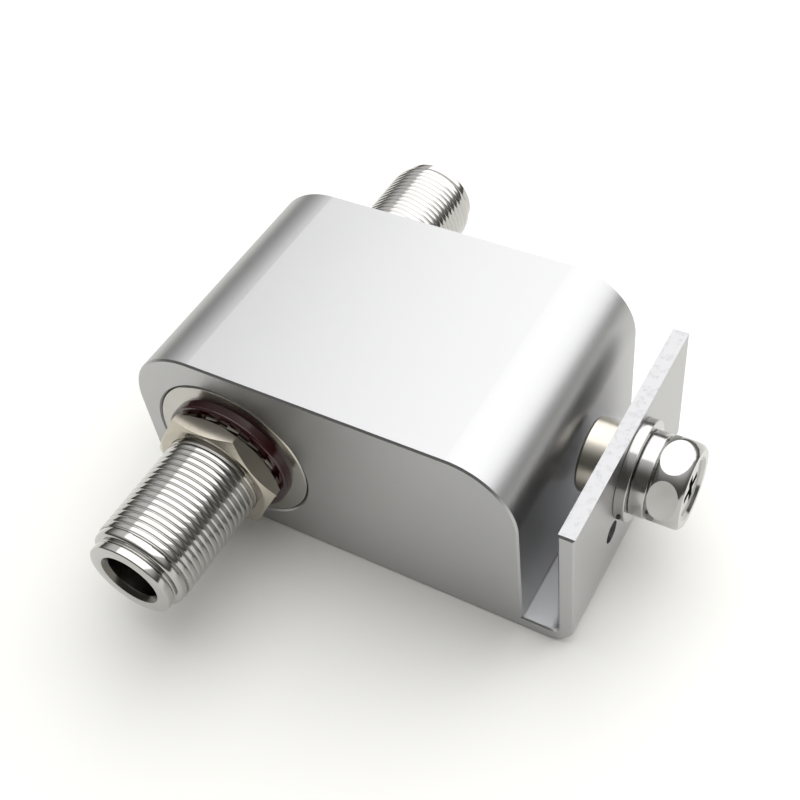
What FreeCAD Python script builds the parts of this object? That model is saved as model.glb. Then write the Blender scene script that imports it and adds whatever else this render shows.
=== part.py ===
import FreeCAD, Part
import math
import os

V = FreeCAD.Vector

# All sizes are in millimetres. X runs across the front face towards the ground plate,
# Y runs back along the coaxial line, Z is up. The origin is on the base face, below the
# coaxial line and halfway along the housing.

# Housing: one length of extrusion with an upturned ground plate, bored for the line
housing_length = 42.0
block_height = 34.0
line_height = 16.35
line_to_left_face = 16.7
line_to_side_wall = 49.3
channel_width = 5.8
channel_floor = 2.5
plate_thickness = 2.5
plate_height = 27.0
top_left_radius = 12.5
top_right_radius = 10.5
base_corner_radius = 4.7
channel_fillet = 1.4
end_chamfer = 0.3

# Screw port: threaded barrel, flange and spigot turned in one piece
barrel_radius = 15.875 / 2
front_barrel_reach = 26.5
rear_barrel_reach = 25.3
flange_radius = 13.45
flange_thickness = 4.0
flange_gap = 0.15
flange_edge_break = 0.2
pocket_edge_break = 0.25
spigot_radius = 9.0
spigot_length = 5.0
spigot_gap = 0.03
rim_radius = 7.0
rim_length = 1.35
groove_radius = 6.6
groove_length = 0.55
collar_radius = 7.75
collar_length = 1.6
collar_round = 0.45
neck_relief = 0.19
neck_margin = 0.3
rim_edge_break = 0.15

# Mouth of the port and the parts that it holds
mouth_radius = 4.95
mouth_chamfer_length = 0.8
socket_radius = 4.3
socket_depth = 9.0
shoulder_radius = 3.5
shoulder_length = 3.5
bead_radius = 4.5
bead_gap = 0.03
bead_length = 12.0
nose_length = 2.4
bush_bore_radius = 3.0
contact_radius = 1.52
contact_hole_radius = 0.82
contact_hole_depth = 6.5
contact_recess = 5.2
contact_slot_width = 0.3
contact_slot_length = 4.2
contact_slots = 2
contact_fit_gap = 0.02
contact_tail_radius = 1.0
contact_tail_length = 4.5

# Coaxial line and quarter wave stub
line_bore_radius = 4.6
line_rod_radius = 2.0
junction_radius = 3.4
junction_flat = 2.8
stub_bore_radius = 5.5
stub_length = 43.0
stub_rod_radius = 2.0
stub_spigot_radius = 1.5
stub_spigot_length = 3.6
stub_spigot_gap = 0.03
stub_screw_radius = 1.25
stub_screw_gap = 0.03
stub_screw_depth = 4.0
stub_screw_head_radius = 2.2
stub_screw_head_length = 1.6
stub_screw_slot = 0.6

# Plug that closes the drilled end of the stub bore
plug_head_radius = 6.8
plug_sink = 0.3
plug_head_length = 3.0
plug_body_length = 6.5
plug_gap = 0.04
seal_groove_gap = 0.03

# Seals
flange_seal_radius = 11.2
flange_seal_section = 0.9
plug_seal_section = 0.7
gasket_outer_radius = 10.8
gasket_inner_radius = 8.25
gasket_thickness = 1.65
gasket_edge_round = 0.4

# Panel nut and toothed lock washer
panel_nut_across_flats = 19.3
panel_nut_thickness = 3.05
panel_nut_turn = 0.5
running_gap = 0.05
lock_washer_inner_radius = 8.2
lock_washer_root_radius = 9.0
lock_washer_tip_radius = 9.75
lock_washer_thickness = 0.5
lock_washer_teeth = 16
lock_washer_tooth_width = 1.9
lock_washer_twist = 8.0

# Ground bolt set on the plate
ground_offset = 0.0
ground_height = 18.5
bolt_radius = 4.0
bolt_across_flats = 12.8
bolt_head_bulge_radius = 7.12
bolt_head_edge_radius = 6.25
bolt_head_edge_break = 0.25
bolt_head_height = 5.05
bolt_head_turn = 5.0
bolt_tip_gap = 1.6
bolt_tip_chamfer = 0.6
head_dish_radius = 4.9
head_dish_depth = 0.45
cross_width = 1.3
cross_span = 5.2
cross_depth = 2.0
flat_washer_radius = 7.83
flat_washer_thickness = 1.65
flat_washer_round = 0.15
spring_washer_radius = 6.5
spring_washer_thickness = 2.35
spring_washer_split = 0.7
spring_washer_slant = 25.0
spring_washer_round = 0.25
washer_hole_gap = 0.3
ground_nut_radius = 5.88
ground_nut_height = 4.4
ground_nut_shank_radius = 4.8
ground_nut_flush = 0.3
ground_nut_shank_gap = 0.03
ground_nut_edge_break = 0.4

# Pilot holes in the ground plate, one each side of the bolt
pilot_radius = 1.83
pilot_spacing = 15.2
pilot_height = 12.2

# The panel nut's corners are broken by a cone at both faces
nut_cone_angle = 30.0
nut_cone_start_share = 0.98

# Places worked out from the sizes above
half_length = housing_length / 2
left_face = -line_to_left_face
side_wall = line_to_side_wall
plate_inner = side_wall + channel_width
plate_outer = plate_inner + plate_thickness
flange_back = half_length - flange_thickness
spigot_end = flange_back - spigot_length
gasket_front = half_length + gasket_thickness
tooth_rise = lock_washer_tooth_width * math.sin(math.radians(lock_washer_twist))
tooth_drop = lock_washer_thickness * math.cos(math.radians(lock_washer_twist))
lock_washer_space = tooth_rise + tooth_drop
lock_washer_middle = gasket_front + lock_washer_space / 2
panel_nut_back = gasket_front + lock_washer_space
neck_end = panel_nut_back + panel_nut_thickness + neck_margin
flat_washer_outer = plate_outer + flat_washer_thickness
head_under = flat_washer_outer + spring_washer_thickness
plug_face = left_face + plug_sink
plug_seat = plug_face + plug_head_length
plug_inner = plug_seat + plug_body_length
plug_groove_middle = plug_seat + plug_body_length / 2


def polygon_face(points):
    corners = points + points[:1]
    return Part.Face(Part.makePolygon(corners))


def turned(profile):
    """Turns pairs of distance along Y and radius about the line's axis."""
    points = [V(0, along, radius) for along, radius in profile]
    solid = polygon_face(points).revolve(V(0, 0, 0), V(0, 1, 0), 360)
    solid.translate(V(0, 0, line_height))
    return solid


def turned_about_x(profile, y, z):
    """Turns pairs of distance along X and radius about an axis parallel to X."""
    points = [V(along, 0, radius) for along, radius in profile]
    solid = polygon_face(points).revolve(V(0, 0, 0), V(1, 0, 0), 360)
    solid.translate(V(0, y, z))
    return solid


def rod_along_x(radius, start, end, y, z):
    return Part.makeCylinder(radius, end - start, V(start, y, z), V(1, 0, 0))


def rod_along_y(radius, start, end):
    return Part.makeCylinder(radius, end - start, V(0, start, line_height), V(0, 1, 0))


def to_front(shape):
    """A port part is drawn pointing back, and half a turn about Z brings it to the front."""
    moved = shape.copy()
    moved.rotate(V(0, 0, 0), V(0, 0, 1), 180)
    return moved


def hexagon(across_flats, turn):
    corner = across_flats / math.sqrt(3)
    angles = [math.radians(turn + 60 * side) for side in range(6)]
    return [(corner * math.cos(angle), corner * math.sin(angle)) for angle in angles]


def arc_corner(centre_x, centre_z, radius, start_angle, end_angle):
    """An arc in the end plane of the extrusion, from one angle to another."""
    middle_angle = (start_angle + end_angle) / 2
    points = []
    for angle in (start_angle, middle_angle, end_angle):
        turn = math.radians(angle)
        points.append(V(centre_x + radius * math.cos(turn), -half_length, centre_z + radius * math.sin(turn)))
    return Part.Arc(*points).toShape()


def extrusion_outline():
    base = base_corner_radius
    arcs = [
        arc_corner(left_face + base, base, base, 180, 270),
        arc_corner(plate_outer - base, base, base, 270, 360),
        arc_corner(plate_inner - channel_fillet, channel_floor + channel_fillet, channel_fillet, 360, 270),
        arc_corner(side_wall - top_right_radius, block_height - top_right_radius, top_right_radius, 0, 90),
        arc_corner(left_face + top_left_radius, block_height - top_left_radius, top_left_radius, 90, 180),
    ]
    between = [
        [],
        [V(plate_outer, -half_length, plate_height), V(plate_inner, -half_length, plate_height)],
        [V(side_wall, -half_length, channel_floor)],
        [],
        [],
    ]
    edges = []
    for index, arc in enumerate(arcs):
        following = arcs[(index + 1) % len(arcs)]
        stops = [arc.lastVertex().Point] + between[index] + [following.firstVertex().Point]
        edges.append(arc)
        for start, end in zip(stops, stops[1:]):
            edges.append(Part.makeLine(start, end))
    return Part.Wire(edges)


def end_edges(solid):
    """Edges of the two end faces, which the saw leaves sharp and a file breaks."""
    chosen = []
    for edge in solid.Edges:
        box = edge.BoundBox
        if box.YLength < 1e-6 and abs(abs(box.YMin) - half_length) < 1e-6:
            chosen.append(edge)
    return chosen


def port_pocket():
    """Stepped pocket in one end face for a port's flange and spigot."""
    flange = flange_radius + flange_gap
    spigot = spigot_radius + spigot_gap
    return turned([
        (0, 0), (0, line_bore_radius), (spigot_end, line_bore_radius), (spigot_end, spigot),
        (flange_back, spigot), (flange_back, flange), (half_length - pocket_edge_break, flange),
        (half_length + 1, flange + pocket_edge_break + 1), (half_length + 1, 0),
    ])


def stub_pocket():
    """Cross bore for the stub, drilled from the left face, with the plug's seat."""
    end = stub_length
    spigot_hole_end = end + stub_spigot_length + plug_gap
    spigot = stub_spigot_radius + stub_spigot_gap
    return turned_about_x([
        (left_face - 1, 0), (left_face - 1, plug_head_radius + plug_gap), (plug_seat, plug_head_radius + plug_gap),
        (plug_seat, stub_bore_radius), (end, stub_bore_radius), (end, spigot),
        (spigot_hole_end, spigot), (spigot_hole_end, 0),
    ], 0, line_height)


def housing():
    body = Part.Face(extrusion_outline()).extrude(V(0, housing_length, 0))
    body = body.makeChamfer(end_chamfer, end_edges(body))
    rear_pocket = port_pocket()
    body = body.cut([rear_pocket, to_front(rear_pocket), stub_pocket()])
    nut_hole_radius = ground_nut_shank_radius + ground_nut_shank_gap
    holes = [rod_along_x(nut_hole_radius, plate_inner - 1, plate_outer + 1, ground_offset, ground_height)]
    for side in (-1, 1):
        y = ground_offset + side * pilot_spacing / 2
        holes.append(rod_along_x(pilot_radius, plate_inner - 1, plate_outer + 1, y, pilot_height))
    return body.cut(holes)


def shell(reach):
    """Threaded barrel, flange and spigot of one port, pointing back."""
    face = half_length + reach
    rim_back = face - rim_length
    groove_back = rim_back - groove_length
    thread_end = groove_back - collar_length
    shoulder = face - socket_depth
    bead_end = shoulder - shoulder_length
    breaks = flange_edge_break
    neck_radius = barrel_radius - neck_relief
    body = turned([
        (spigot_end, bead_radius), (spigot_end, spigot_radius), (flange_back, spigot_radius),
        (flange_back, flange_radius), (half_length - breaks, flange_radius),
        (half_length, flange_radius - breaks), (half_length, neck_radius),
        (neck_end, neck_radius), (neck_end, barrel_radius),
        (thread_end, barrel_radius), (thread_end, collar_radius),
        (groove_back - collar_round, collar_radius), (groove_back, collar_radius - collar_round),
        (groove_back, groove_radius), (rim_back, groove_radius), (rim_back, rim_radius),
        (face - rim_edge_break, rim_radius), (face, rim_radius - rim_edge_break),
        (face, mouth_radius), (face - mouth_chamfer_length, socket_radius),
        (shoulder, socket_radius), (shoulder, shoulder_radius), (bead_end, shoulder_radius),
        (bead_end, bead_radius),
    ])
    return body.cut(flange_seal_groove())


def flange_seal_groove():
    half_width = flange_seal_section + seal_groove_gap
    depth = 2 * flange_seal_section + seal_groove_gap
    return turned([
        (flange_back, flange_seal_radius - half_width), (flange_back, flange_seal_radius + half_width),
        (flange_back + depth, flange_seal_radius + half_width), (flange_back + depth, flange_seal_radius - half_width),
    ])


def flange_seal():
    centre = V(0, flange_back + flange_seal_section, line_height)
    return Part.makeTorus(flange_seal_radius, flange_seal_section, centre, V(0, 1, 0))


def bead_end_place(reach):
    return half_length + reach - socket_depth - shoulder_length


def insulator(reach):
    end = bead_end_place(reach)
    outer = bead_radius - bead_gap
    nose = shoulder_radius - bead_gap
    hole = contact_radius + contact_fit_gap
    return turned([
        (end - bead_length, hole), (end - bead_length, outer), (end, outer),
        (end, nose), (end + nose_length, nose), (end + nose_length, hole),
    ])


def bush(reach):
    """Pressed ring that keeps the insulator against its shoulder."""
    start = spigot_end
    end = bead_end_place(reach) - bead_length
    outer = bead_radius - bead_gap
    return turned([(start, bush_bore_radius), (start, outer), (end, outer), (end, bush_bore_radius)])


def contact(reach):
    """Slotted socket of the centre line with its threaded tail, pointing back."""
    tip = half_length + reach - contact_recess
    root = bead_end_place(reach) - bead_length
    hole_end = tip - contact_hole_depth
    solid = turned([
        (root - contact_tail_length, 0), (root - contact_tail_length, contact_tail_radius),
        (root, contact_tail_radius), (root, contact_radius), (tip - contact_slot_width, contact_radius),
        (tip, contact_radius - contact_slot_width), (tip, contact_hole_radius),
        (hole_end, contact_hole_radius), (hole_end, 0),
    ])
    for slot in range(contact_slots):
        saw = Part.makeBox(
            contact_slot_width, contact_slot_length + 1, 4 * contact_radius,
            V(-contact_slot_width / 2, tip - contact_slot_length, line_height - 2 * contact_radius),
        )
        saw.rotate(V(0, 0, line_height), V(0, 1, 0), 180 / contact_slots * slot + 45)
        solid = solid.cut(saw)
    return solid


def line_rod():
    """Centre rod with the flatted junction that carries the stub."""
    tail_hole = contact_tail_radius + contact_fit_gap
    rear_end = bead_end_place(rear_barrel_reach) - bead_length
    front_end = bead_end_place(front_barrel_reach) - bead_length
    rod = rod_along_y(line_rod_radius, -front_end, rear_end)
    junction = rod_along_y(junction_radius, -junction_radius, junction_radius)
    keep = Part.makeBox(
        2 * junction_flat, 2 * junction_radius, 2 * junction_radius,
        V(-junction_flat, -junction_radius, line_height - junction_radius),
    )
    rod = rod.fuse(junction.common(keep))
    cross_hole = rod_along_x(stub_screw_radius + stub_screw_gap, -junction_radius, junction_radius, 0, line_height)
    rear_hole = rod_along_y(tail_hole, rear_end - contact_tail_length, rear_end + 1)
    front_hole = rod_along_y(tail_hole, -front_end - 1, -front_end + contact_tail_length)
    return rod.cut([cross_hole, rear_hole, front_hole]).removeSplitter()


def stub_rod():
    hole = stub_screw_radius + stub_screw_gap
    hole_end = junction_flat + stub_screw_depth
    return turned_about_x([
        (junction_flat, hole), (junction_flat, stub_rod_radius), (stub_length, stub_rod_radius),
        (stub_length, stub_spigot_radius), (stub_length + stub_spigot_length, stub_spigot_radius),
        (stub_length + stub_spigot_length, 0), (hole_end, 0), (hole_end, hole),
    ], 0, line_height)


def stub_screw():
    head_start = -junction_flat - stub_screw_head_length
    tip = junction_flat + stub_screw_depth - stub_screw_gap
    screw = turned_about_x([
        (head_start, 0), (head_start, stub_screw_head_radius), (-junction_flat, stub_screw_head_radius),
        (-junction_flat, stub_screw_radius), (tip, stub_screw_radius), (tip, 0),
    ], 0, line_height)
    slot = Part.makeBox(
        stub_screw_head_length, 3 * stub_screw_head_radius, stub_screw_slot,
        V(head_start - stub_screw_head_length / 2, -1.5 * stub_screw_head_radius, line_height - stub_screw_slot / 2),
    )
    return screw.cut(slot)


def stub_plug():
    body = stub_bore_radius - plug_gap
    middle = plug_groove_middle
    half_width = plug_seal_section + seal_groove_gap
    floor = stub_bore_radius - 2 * plug_seal_section - seal_groove_gap
    return turned_about_x([
        (plug_face, 0), (plug_face, plug_head_radius), (plug_seat, plug_head_radius), (plug_seat, body),
        (middle - half_width, body), (middle - half_width, floor), (middle + half_width, floor),
        (middle + half_width, body), (plug_inner, body), (plug_inner, 0),
    ], 0, line_height)


def plug_seal():
    radius = stub_bore_radius - plug_seal_section
    return Part.makeTorus(radius, plug_seal_section, V(plug_groove_middle, 0, line_height), V(1, 0, 0))


def panel_gasket():
    ring = turned([
        (half_length, gasket_inner_radius), (half_length, gasket_outer_radius),
        (gasket_front, gasket_outer_radius), (gasket_front, gasket_inner_radius),
    ])
    outer_edges = []
    for edge in ring.Edges:
        box = edge.BoundBox
        round_edge = abs(box.XLength - 2 * gasket_outer_radius) < 1e-3
        if round_edge and abs(box.YMin - gasket_front) < 1e-6:
            outer_edges.append(edge)
    return to_front(ring.makeFillet(gasket_edge_round, outer_edges))


def panel_lock_washer():
    """External tooth washer: each tooth is twisted about its own radius."""
    half = lock_washer_thickness / 2
    washer = turned([
        (lock_washer_middle - half, lock_washer_inner_radius), (lock_washer_middle - half, lock_washer_root_radius),
        (lock_washer_middle + half, lock_washer_root_radius), (lock_washer_middle + half, lock_washer_inner_radius),
    ])
    root = (lock_washer_inner_radius + lock_washer_root_radius) / 2
    tooth = Part.makeBox(
        lock_washer_tip_radius - root, lock_washer_thickness, lock_washer_tooth_width,
        V(root, lock_washer_middle - half, line_height - lock_washer_tooth_width / 2),
    )
    tooth.rotate(V(0, lock_washer_middle, line_height), V(1, 0, 0), lock_washer_twist)
    teeth = []
    for number in range(lock_washer_teeth):
        copy = tooth.copy()
        copy.rotate(V(0, 0, line_height), V(0, 1, 0), 360 / lock_washer_teeth * number)
        teeth.append(copy)
    bore = rod_along_y(lock_washer_inner_radius, half_length, panel_nut_back + 1)
    return to_front(washer.fuse(teeth).cut(bore).removeSplitter())


def panel_nut():
    back = panel_nut_back
    front = back + panel_nut_thickness
    corners = hexagon(panel_nut_across_flats, -panel_nut_turn)
    points = [V(x, back, line_height + z) for x, z in corners]
    blank = polygon_face(points).extrude(V(0, panel_nut_thickness, 0))
    start = panel_nut_across_flats / 2 * nut_cone_start_share
    reach = panel_nut_across_flats / math.sqrt(3) + 1.0
    drop = (reach - start) * math.tan(math.radians(nut_cone_angle))
    bore = barrel_radius + running_gap
    turned_limits = turned([
        (back, bore), (back, start), (back + drop, reach), (front - drop, reach), (front, start), (front, bore),
    ])
    return to_front(blank.common(turned_limits))


def ground_nut():
    """Round clinch nut, seated on the plate's inner face with its shank in the plate."""
    top = plate_inner - ground_nut_height
    end = plate_outer - ground_nut_flush
    bore = bolt_radius + running_gap
    breaks = ground_nut_edge_break
    return turned_about_x([
        (top, bore), (top, ground_nut_radius - breaks), (top + breaks, ground_nut_radius),
        (plate_inner, ground_nut_radius), (plate_inner, ground_nut_shank_radius),
        (end, ground_nut_shank_radius), (end, bore),
    ], ground_offset, ground_height)


def ring_round_edges(ring, outer_radius, size):
    chosen = []
    for edge in ring.Edges:
        box = edge.BoundBox
        if abs(box.YLength - 2 * outer_radius) < 1e-3 and box.XLength < 1e-6:
            chosen.append(edge)
    return ring.makeFillet(size, chosen)


def washer_ring(start, end, outer_radius, edge_round):
    hole = bolt_radius + washer_hole_gap
    ring = turned_about_x(
        [(start, hole), (start, outer_radius), (end, outer_radius), (end, hole)], ground_offset, ground_height,
    )
    return ring_round_edges(ring, outer_radius, edge_round)


def ground_flat_washer():
    return washer_ring(plate_outer, flat_washer_outer, flat_washer_radius, flat_washer_round)


def ground_spring_washer():
    """Split spring washer, drawn flat as it is under the tightened head."""
    ring = washer_ring(flat_washer_outer, head_under, spring_washer_radius, spring_washer_round)
    saw = Part.makeBox(
        3 * spring_washer_thickness, spring_washer_split, 2 * spring_washer_radius,
        V(flat_washer_outer - spring_washer_thickness, ground_offset - spring_washer_split / 2, ground_height),
    )
    middle = V(flat_washer_outer + spring_washer_thickness / 2, ground_offset, ground_height)
    saw.rotate(middle, V(0, 0, 1), spring_washer_slant)
    saw.rotate(middle, V(1, 0, 0), 180)
    return ring.cut(saw)


def bolt_head_blank(end):
    """Round blank of the head: its side bulges, so that each flat ends in a curve."""
    edge = bolt_head_edge_radius
    bulge_end = end - bolt_head_edge_break
    middle = (head_under + bulge_end) / 2
    floor = end - head_dish_depth
    bulge = Part.Arc(V(head_under, 0, edge), V(middle, 0, bolt_head_bulge_radius), V(bulge_end, 0, edge))
    stops = [
        V(bulge_end, 0, edge), V(end, 0, edge - bolt_head_edge_break), V(end, 0, head_dish_radius),
        V(floor, 0, head_dish_radius - head_dish_depth), V(floor, 0, 0), V(head_under, 0, 0), V(head_under, 0, edge),
    ]
    outline = [bulge.toShape()]
    for start, stop in zip(stops, stops[1:]):
        outline.append(Part.makeLine(start, stop))
    blank = Part.Face(Part.Wire(outline)).revolve(V(0, 0, 0), V(1, 0, 0), 360)
    blank.translate(V(0, ground_offset, ground_height))
    return blank


def ground_bolt():
    end = head_under + bolt_head_height
    corners = hexagon(bolt_across_flats, bolt_head_turn)
    points = [V(head_under, ground_offset + y, ground_height + z) for y, z in corners]
    blank = polygon_face(points).extrude(V(bolt_head_height, 0, 0))
    tip = side_wall + bolt_tip_gap
    shank = turned_about_x([
        (tip, 0), (tip, bolt_radius - bolt_tip_chamfer), (tip + bolt_tip_chamfer, bolt_radius),
        (head_under, bolt_radius), (head_under, 0),
    ], ground_offset, ground_height)
    bolt = blank.common(bolt_head_blank(end)).fuse(shank)
    for turn in (0, 90):
        cut = Part.makeBox(
            cross_depth + head_dish_depth, cross_span, cross_width,
            V(end - head_dish_depth - cross_depth, ground_offset - cross_span / 2, ground_height - cross_width / 2),
        )
        cut.rotate(V(0, ground_offset, ground_height), V(1, 0, 0), turn + bolt_head_turn)
        bolt = bolt.cut(cut)
    return bolt.removeSplitter()


parts = {
    "housing": housing(),
    "front_shell": to_front(shell(front_barrel_reach)),
    "rear_shell": shell(rear_barrel_reach),
    "front_flange_seal": to_front(flange_seal()),
    "rear_flange_seal": flange_seal(),
    "front_insulator": to_front(insulator(front_barrel_reach)),
    "rear_insulator": insulator(rear_barrel_reach),
    "front_bead_bush": to_front(bush(front_barrel_reach)),
    "rear_bead_bush": bush(rear_barrel_reach),
    "front_contact": to_front(contact(front_barrel_reach)),
    "rear_contact": contact(rear_barrel_reach),
    "line_rod": line_rod(),
    "stub_rod": stub_rod(),
    "stub_screw": stub_screw(),
    "stub_plug": stub_plug(),
    "plug_seal": plug_seal(),
    "panel_gasket": panel_gasket(),
    "panel_lock_washer": panel_lock_washer(),
    "panel_nut": panel_nut(),
    "ground_nut": ground_nut(),
    "ground_flat_washer": ground_flat_washer(),
    "ground_spring_washer": ground_spring_washer(),
    "ground_bolt": ground_bolt(),
}

os.makedirs("parts", exist_ok=True)
for name, shape in parts.items():
    shape.exportStep("parts/" + name + ".step")
    print(name, "solids", len(shape.Solids), "valid", shape.isValid(), "volume", round(shape.Volume, 2))
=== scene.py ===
import bpy
import math
from mathutils import Euler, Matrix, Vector


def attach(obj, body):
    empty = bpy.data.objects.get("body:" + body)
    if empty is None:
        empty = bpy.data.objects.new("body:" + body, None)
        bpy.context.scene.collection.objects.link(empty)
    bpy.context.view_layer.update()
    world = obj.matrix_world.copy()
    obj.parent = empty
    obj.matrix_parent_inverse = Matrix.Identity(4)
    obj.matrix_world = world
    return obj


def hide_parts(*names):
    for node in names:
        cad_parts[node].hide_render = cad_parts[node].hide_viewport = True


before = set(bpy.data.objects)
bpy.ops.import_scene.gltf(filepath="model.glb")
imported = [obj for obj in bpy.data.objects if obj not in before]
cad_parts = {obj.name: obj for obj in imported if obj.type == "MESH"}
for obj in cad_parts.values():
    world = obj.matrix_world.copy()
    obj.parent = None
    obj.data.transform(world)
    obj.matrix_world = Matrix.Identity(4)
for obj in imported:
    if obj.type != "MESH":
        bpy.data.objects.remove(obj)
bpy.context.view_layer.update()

lineHeight = 0.01635  # height of the coaxial line above the base
print("frame loaded, CAD nodes:", len(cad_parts))

cameraSetup = {
    "place": (0.09346, -0.10364, 0.15727),
    "turn": (41.674, 5.885, 29.474),  # degrees about X, Y and Z
    "lens": 53.73,
    "sensor": 36.0,
    "clip": (0.01, 10),
}

cameraData = bpy.data.cameras.new("studioCamera")
cameraData.lens = cameraSetup["lens"]
cameraData.sensor_width = cameraSetup["sensor"]
cameraData.clip_start, cameraData.clip_end = cameraSetup["clip"]
studioCamera = bpy.data.objects.new("studioCamera", cameraData)
studioCamera.location = cameraSetup["place"]
studioCamera.rotation_euler = Euler([math.radians(angle) for angle in cameraSetup["turn"]], "XYZ")
bpy.context.collection.objects.link(studioCamera)
bpy.context.scene.camera = studioCamera
print("camera placed")


class Wire:
    def __init__(self, board, socket):
        self.board = board
        self.socket = socket

    def __add__(self, other):
        return self.board.maths("ADD", self, other)

    __radd__ = __add__

    def __mul__(self, other):
        return self.board.maths("MULTIPLY", self, other)

    __rmul__ = __mul__

    def __rsub__(self, other):
        return self.board.maths("SUBTRACT", other, self)


class Board:  # a node tree that expressions on wires add to
    def __init__(self, tree):
        self.tree = tree

    def plug(self, socket, value):
        if isinstance(value, Wire):
            self.tree.links.new(value.socket, socket)
        else:
            socket.default_value = value

    def node(self, kind, settings, sockets, output=0):
        made = self.tree.nodes.new(kind)
        for name, value in settings.items():
            setattr(made, name, value)
        for name, value in sockets.items():
            self.plug(made.inputs[name], value)
        return Wire(self, made.outputs[output])

    def maths(self, operation, first, second):
        return self.node("ShaderNodeMath", {"operation": operation}, {0: first, 1: second})

    def smooth(self, value, low, high):
        return self.node("ShaderNodeMapRange", {"interpolation_type": "SMOOTHSTEP"},
                         {"Value": value, "From Min": low, "From Max": high})

    def place(self, kind="Object"):
        return self.node("ShaderNodeTexCoord", {}, {}, kind)

    def part(self, place, axis):
        return self.node("ShaderNodeSeparateXYZ", {}, {0: place}, axis)

    def noise(self, place, scale, detail=4.0, rough=0.55):
        sockets = {"Vector": place, "Scale": scale, "Detail": detail, "Roughness": rough}
        return self.node("ShaderNodeTexNoise", {}, sockets, "Fac")

    def stretched(self, place, scale, turn=(0, 0, 0)):
        return self.node("ShaderNodeMapping", {}, {"Vector": place, "Scale": scale, "Rotation": turn})

    def blend(self, share, first, second):
        return self.node("ShaderNodeMix", {"data_type": "RGBA"}, {0: share, 6: first, 7: second}, 2)

    def bump(self, height, strength, distance):
        sockets = {"Height": height, "Strength": strength, "Distance": distance}
        return self.node("ShaderNodeBump", {}, sockets)


class Finish(Board):
    def __init__(self, name):
        self.material = bpy.data.materials.new(name)
        self.material.use_nodes = True
        super().__init__(self.material.node_tree)
        self.tree.nodes.clear()
        self.shader = self.tree.nodes.new("ShaderNodeBsdfPrincipled")
        output = self.tree.nodes.new("ShaderNodeOutputMaterial")
        self.tree.links.new(self.shader.outputs["BSDF"], output.inputs["Surface"])

    def set(self, **values):
        for name, value in values.items():
            self.plug(self.shader.inputs[name.replace("_", " ")], value)
        return self.material


anodised = {
    "pale": (0.47, 0.47, 0.475, 1),
    "dull": (0.43, 0.43, 0.435, 1),
    "sawn": (0.36, 0.36, 0.37, 1),
    # the channel floor's colour: its own bare-metal tone, made paler as painted light where the channel lies
    # in shade
    "rawFloorPaintedLight": (0.90, 0.91, 0.93, 1),
    "rough": (0.32, 0.38),
    "patch": 45.0,  # scales of the noises, in waves to the metre
    "bead": 5200.0,
    "strokes": 2600.0,
    "chips": 700.0,
    "grain": 2400.0,
    "strokeSqueeze": (0.16, 1.0, 1.0), "strokeTurn": (0, 0, 0.5),
    "chipEdge": (0.52, 0.62),
    "sawnShare": 0.35, "chipShare": 0.65,  # how far the sawn edge's colour goes over the plain one
    "roughAdd": {"bead": 0.03, "rawFloorPaintedLight": 0.26, "sawn": 0.06},
    "relief": {"bead": 0.25, "rawFloorPaintedLight": 1.6, "strokes": 0.6, "chips": 1.6},
    "plateTop": {"height": (0.02690, 0.02698), "across": (0.0540, 0.0545)},  # start of the sawn edge, metres
    "channel": {  # where the unfinished floor of the channel begins and ends, in metres; its pale colour is partly its own and partly painted light on the shaded channel floor
        "wall": (0.0493, 0.0497), "plate": (0.0547, 0.0551),
        "floor": (0.0027, 0.0031), "under": (0.00235, 0.00245),
    },
    "bump": (0.6, 0.00004),  # strength, and depth in metres
}


def blastedAluminium():
    finish = Finish("blastedAluminium")
    place = finish.place()
    patch = finish.noise(place, anodised["patch"], 3.0)
    bead = finish.noise(place, anodised["bead"], 2.0, 0.6)
    across = finish.part(place, 0)
    height = finish.part(place, 2)
    top = anodised["plateTop"]
    sawn = finish.smooth(height, *top["height"]) * finish.smooth(across, *top["across"])
    channel = anodised["channel"]
    between = finish.smooth(across, *channel["wall"]) * (1.0 - finish.smooth(across, *channel["plate"]))
    above = finish.smooth(height, *channel["floor"])
    # mask of the channel floor, whose paler colour is partly painted light
    rawFloorPaintedLight = between * (1.0 - above) * finish.smooth(height, *channel["under"])
    strokePlace = finish.stretched(place, anodised["strokeSqueeze"], anodised["strokeTurn"])
    strokes = finish.noise(strokePlace, anodised["strokes"], 3.0, 0.7)
    chips = finish.smooth(finish.noise(place, anodised["chips"], 4.0, 0.7), *anodised["chipEdge"])
    grain = finish.noise(place, anodised["grain"], 3.0, 0.7)
    low, high = anodised["rough"]
    plain = finish.blend(patch, anodised["dull"], anodised["pale"])
    edgeShare = sawn * (anodised["sawnShare"] + anodised["chipShare"] * chips * strokes)
    edged = finish.blend(edgeShare, plain, anodised["sawn"])
    add = anodised["roughAdd"]
    depth = anodised["relief"]
    sawnRelief = sawn * (depth["strokes"] * strokes + depth["chips"] * chips * strokes)
    return finish.set(
        # the channel floor takes the paler colour, partly painted light in the channel's shade
        Base_Color=finish.blend(rawFloorPaintedLight, edged, anodised["rawFloorPaintedLight"]),
        Metallic=1.0,
        Roughness=low + (high - low) * patch + add["bead"] * bead + add["rawFloorPaintedLight"] * rawFloorPaintedLight + add["sawn"] * sawn,
        Normal=finish.bump(depth["bead"] * bead + depth["rawFloorPaintedLight"] * rawFloorPaintedLight * grain + sawnRelief, *anodised["bump"]),
    )


smearEdge = (0.35, 0.7)
turning = {
    "smear": 60.0, "rings": 9000.0, "squeeze": (0.02, 1.0, 0.02), "bump": (0.12, 0.00002),
    "smearRough": 0.06, "ringRough": 0.04,
}


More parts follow.
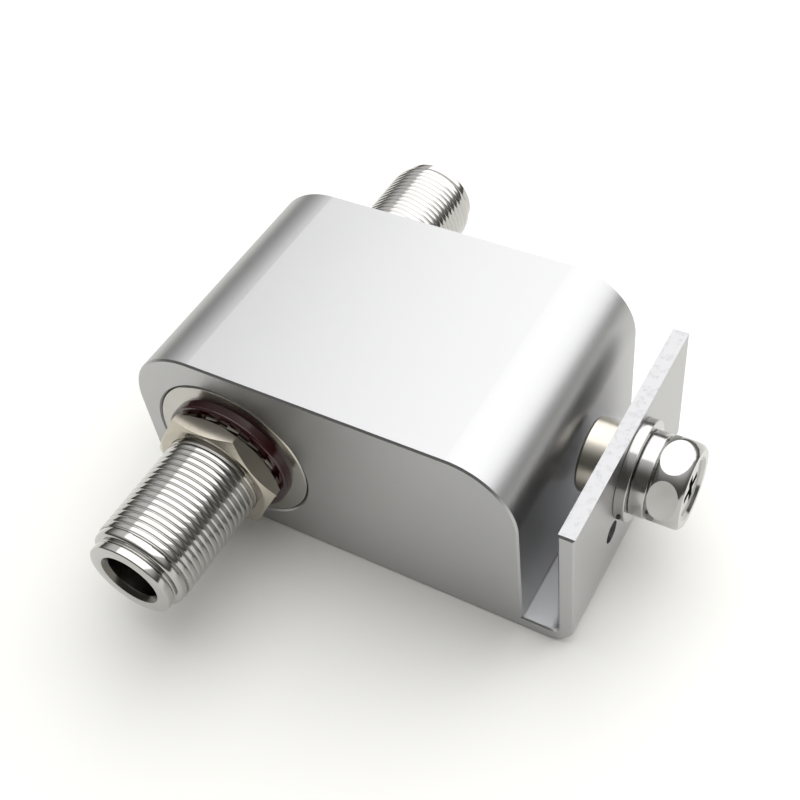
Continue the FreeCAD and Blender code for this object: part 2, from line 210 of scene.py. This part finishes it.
def turnedMetal(name, pale, dull, rough, ringScale=turning["rings"]):
    finish = Finish(name)
    place = finish.place()
    smear = finish.noise(place, turning["smear"])
    rings = finish.noise(finish.stretched(place, turning["squeeze"]), ringScale, 2.0, 0.6)
    return finish.set(
        Base_Color=finish.blend(finish.smooth(smear, *smearEdge), pale, dull),
        Metallic=1.0,
        Roughness=rough + turning["smearRough"] * smear + turning["ringRough"] * rings,
        Normal=finish.bump(rings, *turning["bump"]),
    )


facing = {
    "smear": 140.0, "scratch": 7000.0, "squeeze": (1.0, 0.04, 0.3), "turn": (0.3, 0.5, 0.9),
    "bump": (0.10, 0.00002), "smearRough": 0.07, "scratchRough": 0.04,
}


def facedMetal(name, pale, dull, rough):
    finish = Finish(name)
    place = finish.place()
    smear = finish.noise(place, facing["smear"], 5.0)
    scratchPlace = finish.stretched(place, facing["squeeze"], facing["turn"])
    scratch = finish.noise(scratchPlace, facing["scratch"], 2.0)
    return finish.set(
        Base_Color=finish.blend(finish.smooth(smear, *smearEdge), pale, dull),
        Metallic=1.0,
        Roughness=rough + facing["smearRough"] * smear + facing["scratchRough"] * scratch,
        Normal=finish.bump(scratch, *facing["bump"]),
    )


moulding = {"smear": 90.0, "grain": 2500.0, "bump": (0.2, 0.00002), "smearRough": 0.12}


def softMaterial(name, pale, dull, rough, coat):
    finish = Finish(name)
    place = finish.place()
    smear = finish.noise(place, moulding["smear"])
    grain = finish.noise(place, moulding["grain"], 3.0)
    return finish.set(
        Base_Color=finish.blend(smear, dull, pale),
        Roughness=rough + moulding["smearRough"] * smear,
        Normal=finish.bump(grain, *moulding["bump"]),
        Coat_Weight=coat,
    )


finishes = {
    "housing": blastedAluminium(),
    "nickel": turnedMetal("turnedNickel", (0.49, 0.48, 0.465, 1), (0.44, 0.43, 0.415, 1), 0.06),
    "champagne": facedMetal("champagneNickel", (0.50, 0.465, 0.40, 1), (0.44, 0.405, 0.34, 1), 0.11),
    "steel": facedMetal("polishedSteel", (0.48, 0.475, 0.465, 1), (0.42, 0.415, 0.405, 1), 0.08),
    "clinch": turnedMetal("clinchNickel", (0.56, 0.53, 0.47, 1), (0.49, 0.46, 0.40, 1), 0.24),
    "brass": turnedMetal("turnedBrass", (0.80, 0.62, 0.30, 1), (0.66, 0.48, 0.22, 1), 0.22),
    "gold": turnedMetal("platedContact", (0.86, 0.70, 0.40, 1), (0.76, 0.58, 0.30, 1), 0.16),
    "maroon": softMaterial("maroonGasket", (0.045, 0.003, 0.006, 1), (0.028, 0.002, 0.004, 1), 0.08, 0.3),
    "face": turnedMetal("facedFlange", (0.50, 0.485, 0.455, 1), (0.44, 0.425, 0.40, 1), 0.15, 2500.0),
    # the bore's dark colour is painted shade inside the deep, narrow mouth and bore
    "bore": turnedMetal("shadedBore", (0.15, 0.145, 0.13, 1), (0.10, 0.095, 0.085, 1), 0.20),
    "insulator": softMaterial("whiteInsulator", (0.80, 0.79, 0.76, 1), (0.70, 0.69, 0.66, 1), 0.42, 0.0),
    "black": softMaterial("blackSeal", (0.03, 0.03, 0.03, 1), (0.015, 0.015, 0.015, 1), 0.35, 0.1),
}
nodeFinish = {
    "housing": "housing", "stub_plug": "housing", "front_shell": "nickel", "rear_shell": "nickel",
    "front_bead_bush": "nickel", "rear_bead_bush": "nickel", "front_insulator": "insulator",
    "rear_insulator": "insulator", "front_contact": "gold", "rear_contact": "gold",
    "line_rod": "brass", "stub_rod": "brass", "stub_screw": "brass",
    "front_flange_seal": "black", "rear_flange_seal": "black", "plug_seal": "black",
    "panel_gasket": "maroon", "panel_lock_washer": "champagne", "panel_nut": "champagne",
    "ground_nut": "clinch", "ground_flat_washer": "steel", "ground_spring_washer": "steel",
    "ground_bolt": "steel",
}
for nodeName, finishName in nodeFinish.items():
    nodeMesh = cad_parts[nodeName].data
    nodeMesh.materials.clear()
    nodeMesh.materials.append(finishes[finishName])
print("finishes made:", len(finishes))

making = {
    "weld": 0.000002,  # metres, within which points are one
    "turnedSides": 128, "threadSides": 72,
    "leadTurns": 1.5, "spareTurns": 2,  # thread that is swept past its ends and cut off
    "sleeveInside": 0.9,  # the sleeve's inner radius, as a share of its outer one
    "edgeSteps": 2,
    "edgeAngle": 30, "smoothAngle": 30,  # degrees
}


def startFresh():
    if bpy.context.object and bpy.context.object.mode != "OBJECT":
        bpy.ops.object.mode_set(mode="OBJECT")
    bpy.ops.object.select_all(action="DESELECT")


def holdOnly(piece):
    startFresh()
    piece.select_set(True)
    bpy.context.view_layer.objects.active = piece


def settle(piece):  # leaves the place in the mesh and the object at the origin
    holdOnly(piece)
    bpy.ops.object.transform_apply(location=True, rotation=True, scale=True)


def outward(piece):
    holdOnly(piece)
    bpy.ops.object.mode_set(mode="EDIT")
    bpy.ops.mesh.select_all(action="SELECT")
    bpy.ops.mesh.remove_doubles(threshold=making["weld"])
    bpy.ops.mesh.normals_make_consistent(inside=False)
    bpy.ops.object.mode_set(mode="OBJECT")


def pickPoints(piece, wanted):  # leaves the piece in edit mode with the wanted vertices selected
    holdOnly(piece)
    bpy.ops.object.mode_set(mode="EDIT")
    bpy.ops.mesh.select_mode(type="VERT")
    bpy.ops.mesh.select_all(action="DESELECT")
    bpy.ops.object.mode_set(mode="OBJECT")
    for point in piece.data.vertices:
        point.select = wanted(point.co)
    bpy.ops.object.mode_set(mode="EDIT")


def modify(piece, kind, **settings):
    holdOnly(piece)
    step = piece.modifiers.new(kind.lower(), kind)
    for name, value in settings.items():
        setattr(step, name, value)
    bpy.ops.object.modifier_apply(modifier=step.name)


def breakEdges(piece, width):
    modify(piece, "BEVEL", width=width, segments=making["edgeSteps"], limit_method="ANGLE",
           angle_limit=math.radians(making["edgeAngle"]))


def smoothSides(piece, angle=making["smoothAngle"]):
    holdOnly(piece)
    bpy.ops.object.shade_smooth_by_angle(angle=math.radians(angle))


def turnedPiece(name, rings):
    # rings are distance along the line and radius in millimetres, extruded one from the next and closed up
    startFresh()
    along, radius = rings[0]
    bpy.ops.mesh.primitive_circle_add(
        vertices=making["turnedSides"], radius=radius / 1000, location=(0, along / 1000, 0),
        rotation=(math.radians(90), 0, 0))
    piece = bpy.context.object
    piece.name = name
    settle(piece)
    bpy.ops.object.mode_set(mode="EDIT")
    bpy.ops.mesh.select_all(action="SELECT")
    for nextAlong, nextRadius in rings[1:]:
        step = (nextAlong - along) / 1000
        bpy.ops.mesh.extrude_edges_move(TRANSFORM_OT_translate={"value": (0, step, 0)})
        share = nextRadius / radius
        bpy.ops.transform.resize(value=(share, 1, share), center_override=(0, nextAlong / 1000, 0))
        along, radius = nextAlong, nextRadius
    bpy.ops.mesh.select_all(action="DESELECT")
    bpy.ops.mesh.select_non_manifold()
    bpy.ops.mesh.bridge_edge_loops()
    bpy.ops.object.mode_set(mode="OBJECT")
    outward(piece)
    return piece


def threadedSleeve(name, setup, start, end):
    # one pitch of the thread's outline is swept round by the Screw modifier, cut flat and closed inside
    startFresh()
    pitch = setup["pitch"] / 1000
    firstRadius = setup["radius"] - setup["depth"] + setup["depth"] * setup["form"][0][1]
    bpy.ops.mesh.primitive_plane_add(size=0.001, location=(0, 0, 0))
    piece = bpy.context.object
    piece.name = name
    bpy.ops.object.mode_set(mode="EDIT")
    bpy.ops.mesh.select_all(action="SELECT")
    bpy.ops.mesh.merge(type="CENTER")
    bpy.ops.transform.translate(value=(firstRadius / 1000, start / 1000 - making["leadTurns"] * pitch, 0))
    for (share, rise), (nextShare, nextRise) in zip(setup["form"], setup["form"][1:]):
        bpy.ops.mesh.extrude_vertices_move(TRANSFORM_OT_translate={
            "value": ((nextRise - rise) * setup["depth"] / 1000, (nextShare - share) * pitch, 0)})
    bpy.ops.object.mode_set(mode="OBJECT")
    turns = math.ceil((end - start) / setup["pitch"]) + making["spareTurns"]
    modify(piece, "SCREW", axis="Y", screw_offset=pitch, angle=math.radians(360), iterations=turns,
           steps=making["threadSides"], render_steps=making["threadSides"],
           use_merge_vertices=True, merge_threshold=making["weld"])
    outward(piece)
    holdOnly(piece)
    bpy.ops.object.mode_set(mode="EDIT")
    for place, side in ((start, False), (end, True)):
        bpy.ops.mesh.select_all(action="SELECT")
        bpy.ops.mesh.bisect(plane_co=(0, place / 1000, 0), plane_no=(0, 1, 0), use_fill=False,
                            clear_inner=not side, clear_outer=side)
    bpy.ops.mesh.select_all(action="DESELECT")
    bpy.ops.mesh.select_non_manifold()
    bpy.ops.mesh.extrude_edges_move()
    inner = making["sleeveInside"]
    bpy.ops.transform.resize(value=(inner, 1, inner), center_override=(0, 0, 0))
    bpy.ops.mesh.bridge_edge_loops()
    bpy.ops.object.mode_set(mode="OBJECT")
    outward(piece)
    return piece


def joinTo(piece, other):
    holdOnly(piece)
    other.select_set(True)
    bpy.ops.object.join()


def shiftMesh(piece, shift, turn):
    holdOnly(piece)
    piece.rotation_euler = (0, 0, math.radians(turn))
    piece.location = shift
    settle(piece)


def copyNode(name, nodeName):
    piece = bpy.data.objects.new(name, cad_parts[nodeName].data.copy())
    piece.matrix_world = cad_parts[nodeName].matrix_world
    bpy.context.collection.objects.link(piece)
    settle(piece)
    outward(piece)
    bpy.ops.mesh.customdata_custom_splitnormals_clear()  # the file's own normals don't survive the merge
    return piece


port = {  # millimetres
    "face": {"front": 47.5, "rear": 46.3},  # the rim's end, from mid-length
    "flangeEdge": 13.45, "flangeBack": 17.0, "flangeFront": 21.0, "edgeBreak": 0.2,
    "spigot": 9.0, "spigotEnd": 12.0, "bead": 4.5, "beadEnd": 12.5, "shoulder": 3.5, "shoulderStart": 9.0,
    "neck": 7.3, "fade": 0.25, "collar": 7.75, "collarLength": 1.6, "collarBreak": (0.1, 0.05),
    "collarRound": [(0.5, 0.0), (0.24, 0.09), (0.07, 0.27), (0.0, 0.5)],  # back from its end, and down
    "groove": 6.6, "grooveLength": 0.55,
    "grooveStart": [(0.03, 0.2), (0.12, 0.05), (0.28, 0.0)],  # along from the collar, up from the floor
    "grooveEnd": [(-0.12, 0.05), (0.0, 0.18)],  # along from the rim, up from the floor
    "rim": 7.0, "rimLength": 1.35, "rimRound": [(0.10, 0.02), (0.2, 0.0)], "rimBreak": 0.15,
    "mouth": 4.95, "mouthChamfer": 0.8, "mouthMargin": 0.02, "socket": 4.3,
    "softEdge": 0.05,
}
portThread = {
    "radius": 7.9375, "pitch": 25.4 / 24, "depth": 0.10, "start": 22.6, "overlap": 0.05,
    "form": [(0.0, 0.0), (0.05, 0.10), (0.12, 0.50), (0.19, 0.90), (0.24, 1.0), (0.76, 1.0), (0.81, 0.90),
             (0.88, 0.50), (0.95, 0.10), (1.0, 0.0)],  # shares of the pitch and of the depth
}


def portRings(side):
    faceEnd = port["face"][side]
    rimBack = faceEnd - port["rimLength"]
    grooveBack = rimBack - port["grooveLength"]
    threadEnd = grooveBack - port["collarLength"]
    shoulder = faceEnd - port["shoulderStart"]
    beadEnd = faceEnd - port["beadEnd"]
    cut = port["edgeBreak"]
    breakAlong, breakDown = port["collarBreak"]
    rings = [
        (port["spigotEnd"], port["bead"]), (port["spigotEnd"], port["spigot"]),
        (port["flangeBack"], port["spigot"]), (port["flangeBack"], port["flangeEdge"]),
        (port["flangeFront"] - cut, port["flangeEdge"]), (port["flangeFront"], port["flangeEdge"] - cut),
        (port["flangeFront"], port["neck"]), (threadEnd - port["fade"], port["neck"]),
        (threadEnd, port["collar"] - breakDown), (threadEnd + breakAlong, port["collar"]),
    ]
    rings += [(grooveBack - back, port["collar"] - down) for back, down in port["collarRound"]]
    rings += [(grooveBack + along, port["groove"] + up) for along, up in port["grooveStart"]]
    rings += [(rimBack + along, port["groove"] + up) for along, up in port["grooveEnd"]]
    rings += [(rimBack + along, port["rim"] - down) for along, down in port["rimRound"]]
    rings += [
        (faceEnd - port["rimBreak"], port["rim"]), (faceEnd, port["rim"] - port["rimBreak"]),
        (faceEnd, port["mouth"]), (faceEnd - port["mouthChamfer"], port["socket"]),
        (shoulder, port["socket"]), (shoulder, port["shoulder"]),
        (beadEnd, port["shoulder"]), (beadEnd, port["bead"]),
    ]
    return rings, threadEnd


# faces inside the mouth, chamfer included, get the bore finish, whose dark colour is painted shade
def portFinish(reach):  # place in the shell's list of finishes, by the distance from the line
    if reach < (port["mouth"] + port["mouthMargin"]) / 1000:
        return 1
    return 2 if reach > port["spigot"] / 1000 else 0


def portShell(side):
    rings, threadEnd = portRings(side)
    shell = turnedPiece(side + "PortShell", rings)
    breakEdges(shell, port["softEdge"] / 1000)
    sleeveEnd = threadEnd + portThread["overlap"]
    joinTo(shell, threadedSleeve(side + "Thread", portThread, portThread["start"], sleeveEnd))
    shiftMesh(shell, (0, 0, lineHeight), 180 if side == "front" else 0)
    smoothSides(shell)
    shell.data.materials.clear()
    for finishName in ("nickel", "bore", "face"):
        shell.data.materials.append(finishes[finishName])
    points = shell.data.vertices
    for face in shell.data.polygons:
        places = [points[number].co for number in face.vertices]
        face.material_index = portFinish(max(math.hypot(place.x, place.z - lineHeight) for place in places))
    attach(shell, "arrestor")
    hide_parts(side + "_shell")
    return shell


for side in ("front", "rear"):
    print("port shell:", side, len(portShell(side).data.polygons), "faces")

groundBolt = {
    "height": 0.0185,  # of the bolt's axis, in metres
    "shank": 4.0, "core": 3.64, "headStart": 61.6, "near": 0.05,  # millimetres
    "threadStart": 51.6, "threadEnd": 61.5,
    "smoothAngle": 6,  # degrees, which keeps the flats of the head crisp
}
boltThread = {
    "radius": 4.0, "pitch": 1.25, "depth": 0.42,
    "form": [(0.0, 0.0), (0.08, 0.03), (0.38, 0.88), (0.43, 1.0), (0.57, 1.0), (0.62, 0.88),
             (0.92, 0.03), (1.0, 0.0)],
}


def onShank(place):
    reach = 1000 * math.hypot(place.y, place.z - groundBolt["height"])
    beforeHead = place.x < (groundBolt["headStart"] + groundBolt["near"]) / 1000
    return beforeHead and abs(reach - groundBolt["shank"]) < groundBolt["near"]


def threadedBolt():
    bolt = copyNode("threadedGroundBolt", "ground_bolt")
    pickPoints(bolt, onShank)
    share = groundBolt["core"] / groundBolt["shank"]
    bpy.ops.transform.resize(value=(1, share, share), center_override=(0, 0, groundBolt["height"]))
    bpy.ops.object.mode_set(mode="OBJECT")
    thread = threadedSleeve("boltThread", boltThread, groundBolt["threadStart"], groundBolt["threadEnd"])
    shiftMesh(thread, (0, 0, groundBolt["height"]), -90)
    joinTo(bolt, thread)
    smoothSides(bolt, groundBolt["smoothAngle"])
    bolt.data.materials.clear()
    bolt.data.materials.append(finishes["steel"])
    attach(bolt, "bolt")
    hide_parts("ground_bolt")
    return bolt


print("ground bolt:", len(threadedBolt().data.polygons), "faces")

floorSetup = {
    "size": 6.0, "pale": (0.94, 0.935, 0.90, 1), "dull": (0.91, 0.905, 0.87, 1), "patch": 8.0, "rough": 0.9,
}
bpy.ops.mesh.primitive_plane_add(size=floorSetup["size"], location=(0, 0, 0))
floor = bpy.context.object
floor.name = "paleFloor"
paper = Finish("palePaper")
patch = paper.noise(paper.place(), floorSetup["patch"])
floor.data.materials.append(paper.set(
    Base_Color=paper.blend(patch, floorSetup["dull"], floorSetup["pale"]),
    Roughness=floorSetup["rough"],
))

studio = {
    "softBox": {"place": (0.25, 0.86, 1.44), "width": 2.80, "height": 3.00, "power": 38.0},
    "low": (0.11, 0.11, 0.10, 1),  # air at the horizon
    "high": (0.95, 0.95, 0.95, 1),  # air overhead
    "rise": (0.12, 0.85),
    "target": (0.02, 0.0, 0.015),  # where the box of light points
}
boxData = bpy.data.lights.new("softBox", "AREA")
boxData.shape = "RECTANGLE"
boxData.size = studio["softBox"]["width"]
boxData.size_y = studio["softBox"]["height"]
boxData.energy = studio["softBox"]["power"]
softBox = bpy.data.objects.new("softBox", boxData)
softBox.location = studio["softBox"]["place"]
aim = Vector(studio["target"]) - softBox.location
softBox.rotation_euler = aim.to_track_quat("-Z", "Y").to_euler()
bpy.context.collection.objects.link(softBox)

world = bpy.data.worlds.new("studioAir")
world.use_nodes = True
air = Board(world.node_tree)
airPlace = air.place("Generated")
airHeight = air.part(airPlace, 2) * (1.0 + air.part(airPlace, 1))  # the room is darker on the camera's side
airRise = air.smooth(airHeight, *studio["rise"])
background = world.node_tree.nodes["Background"]
air.plug(background.inputs["Color"], air.blend(airRise, studio["low"], studio["high"]))
bpy.context.scene.world = world
bpy.context.scene.view_settings.view_transform = "Standard"
print("studio ready")
